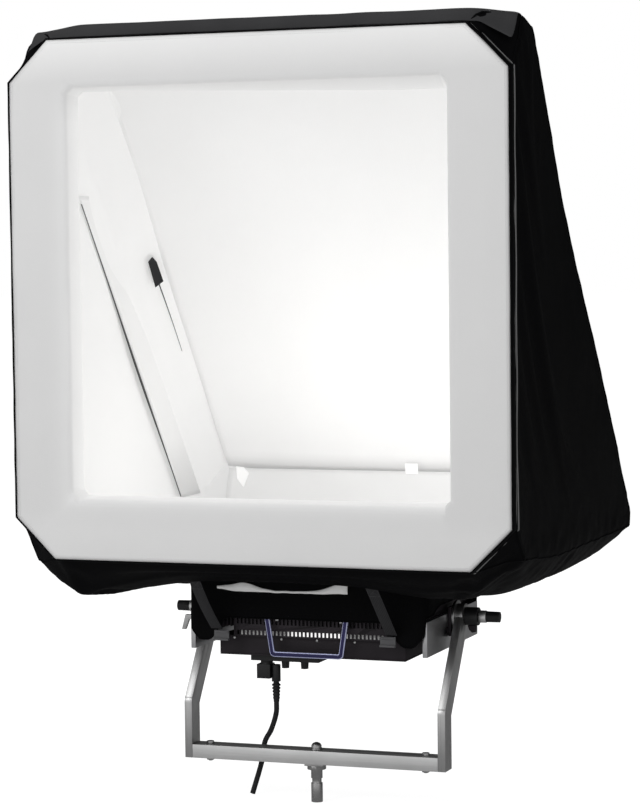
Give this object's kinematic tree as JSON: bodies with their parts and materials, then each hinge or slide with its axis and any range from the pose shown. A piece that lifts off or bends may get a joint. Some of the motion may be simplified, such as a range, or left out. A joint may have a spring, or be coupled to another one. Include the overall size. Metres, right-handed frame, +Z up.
{
  "type": "studio softbox",
  "caption": "Wedge-shaped studio softbox that bounces light from an upward-facing lamp head off a sloping white back and out of a square window, in a cranked tilting yoke.",
  "frame": {"origin": "centre of the spigot's lower end face, where it stands in a light stand's socket", "axes": "+Z up along the spigot, -Y out of the softbox's window, +X to the right as seen from behind the lamp"},
  "size_m": [1.22, 1.1339, 1.835],
  "materials": {
    "black_fabric": "coated nylon, slightly shiny",
    "white_fabric": "matt white nylon",
    "webbing": "ribbed polyester webbing",
    "black_plastic": "fine moulded texture",
    "grey_plastic": "satin moulded",
    "black_metal": "black powder coat",
    "blue_metal": "dark blue anodised",
    "yoke_silver": "brushed and clear anodised",
    "steel": "turned and zinc plated",
    "rubber": "matt",
    "diffuser_white": "opal",
    "board_white": "solder mask",
    "rod_dark": "pultruded fibreglass"
  },
  "bodies": {
    "yoke": {"crossbar": "yoke_silver", "yoke_arm_left": "yoke_silver", "yoke_arm_right": "yoke_silver", "arm_bolt_left": "steel", "arm_bolt_right": "steel", "spigot": "steel", "spigot_nut": "steel", "mains_cable_lower": "rubber"},
    "trunnion": {"slide_block_left": "black_metal", "slide_block_right": "black_metal", "brake_disc_left": "steel", "brake_disc_right": "steel"},
    "clamp_left": {"clamp_hub_left": "black_plastic", "clamp_lever_left": "yoke_silver"},
    "clamp_right": {"clamp_hub_right": "black_plastic", "clamp_lever_right": "black_metal"},
    "drag_left": {"drag_knob_left": "black_plastic"},
    "drag_right": {"drag_knob_right": "black_plastic"},
    "head": {"lamp_body": "black_metal", "lamp_bezel": "black_metal", "lamp_diffuser": "diffuser_white", "led_board": "board_white", "heat_sink": "black_metal", "grille_front": "black_metal", "grille_rear": "black_metal", "electronics_housing": "black_metal", "bottom_cover": "black_metal", "side_rail_left": "yoke_silver", "side_rail_right": "yoke_silver", "carry_handle_front": "blue_metal", "carry_handle_rear": "blue_metal", "control_panel": "black_plastic", "mains_plug": "black_plastic", "mains_cable_upper": "rubber", "adapter_ring": "black_metal", "skirt": "black_fabric", "strap_left": "webbing", "strap_right": "webbing", "outer_skin": "black_fabric", "white_lining": "white_fabric", "rim_binding": "black_fabric", "front_border": "white_fabric", "front_rod_bottom": "rod_dark", "front_rod_right": "rod_dark", "front_rod_top": "rod_dark", "front_rod_left": "rod_dark", "bounce_sheet": "white_fabric", "lower_flap": "white_fabric", "back_pole_left": "rod_dark", "back_pole_right": "rod_dark", "back_batten": "rod_dark"},
    "fan_left": {"fan_rotor_left": "black_plastic"},
    "fan_right": {"fan_rotor_right": "black_plastic"},
    "encoder_left": {"encoder_knob_left": "black_plastic"},
    "encoder_right": {"encoder_knob_right": "black_plastic"},
    "key_left": {"menu_key_left": "grey_plastic"},
    "key_right": {"menu_key_right": "grey_plastic"},
    "switch": {"power_switch": "grey_plastic"},
    "clip_left": {"skirt_clip_left": "grey_plastic"},
    "clip_right": {"skirt_clip_right": "grey_plastic"}
  },
  "joints": [
    {"name": "head_tilt", "type": "hinge", "parent": "yoke", "child": "trunnion", "pos_m": [0, 0.15, 0.445], "axis": [1, 0, 0], "range_deg": [-75, 55]},
    {"name": "balance_slide", "type": "slide", "parent": "trunnion", "child": "head", "axis": [0, 1, 0], "range_m": [-0.03, 0.03]},
    {"name": "tilt_clamp_left", "type": "hinge", "parent": "trunnion", "child": "clamp_left", "pos_m": [-0.352, 0.15, 0.445], "axis": [1, 0, 0], "range_deg": [0, 90]},
    {"name": "tilt_clamp_right", "type": "hinge", "parent": "trunnion", "child": "clamp_right", "pos_m": [0.352, 0.15, 0.445], "axis": [1, 0, 0], "range_deg": [0, 90]},
    {"name": "drag_knob_turn_left", "type": "hinge", "parent": "trunnion", "child": "drag_left", "pos_m": [-0.395, 0.15, 0.445], "axis": [1, 0, 0], "continuous": true},
    {"name": "drag_knob_turn_right", "type": "hinge", "parent": "trunnion", "child": "drag_right", "pos_m": [0.395, 0.15, 0.445], "axis": [1, 0, 0], "continuous": true},
    {"name": "fan_spin_left", "type": "hinge", "parent": "head", "child": "fan_left", "pos_m": [-0.12, 0.22, 0.377], "axis": [0, 0, 1], "continuous": true},
    {"name": "fan_spin_right", "type": "hinge", "parent": "head", "child": "fan_right", "pos_m": [0.12, 0.22, 0.377], "axis": [0, 0, 1], "continuous": true},
    {"name": "encoder_turn_left", "type": "hinge", "parent": "head", "child": "encoder_left", "pos_m": [-0.089, 0.03, 0.328], "axis": [0, 0, 1], "continuous": true},
    {"name": "encoder_turn_right", "type": "hinge", "parent": "head", "child": "encoder_right", "pos_m": [-0.039, 0.03, 0.328], "axis": [0, 0, 1], "continuous": true},
    {"name": "menu_key_press_left", "type": "slide", "parent": "head", "child": "key_left", "axis": [0, 0, 1], "range_m": [0, 0.0015]},
    {"name": "menu_key_press_right", "type": "slide", "parent": "head", "child": "key_right", "axis": [0, 0, 1], "range_m": [0, 0.0015]},
    {"name": "power_switch_rock", "type": "hinge", "parent": "head", "child": "switch", "pos_m": [-0.04, 0.066, 0.3374], "axis": [0, 1, 0], "range_deg": [-7, 7]},
    {"name": "skirt_clip_open_left", "type": "hinge", "parent": "head", "child": "clip_left", "pos_m": [-0.212, -0.0765, 0.417], "axis": [1, 0, 0], "range_deg": [-100, 0]},
    {"name": "skirt_clip_open_right", "type": "hinge", "parent": "head", "child": "clip_right", "pos_m": [0.212, -0.0765, 0.417], "axis": [1, 0, 0], "range_deg": [-100, 0]}
  ]
}
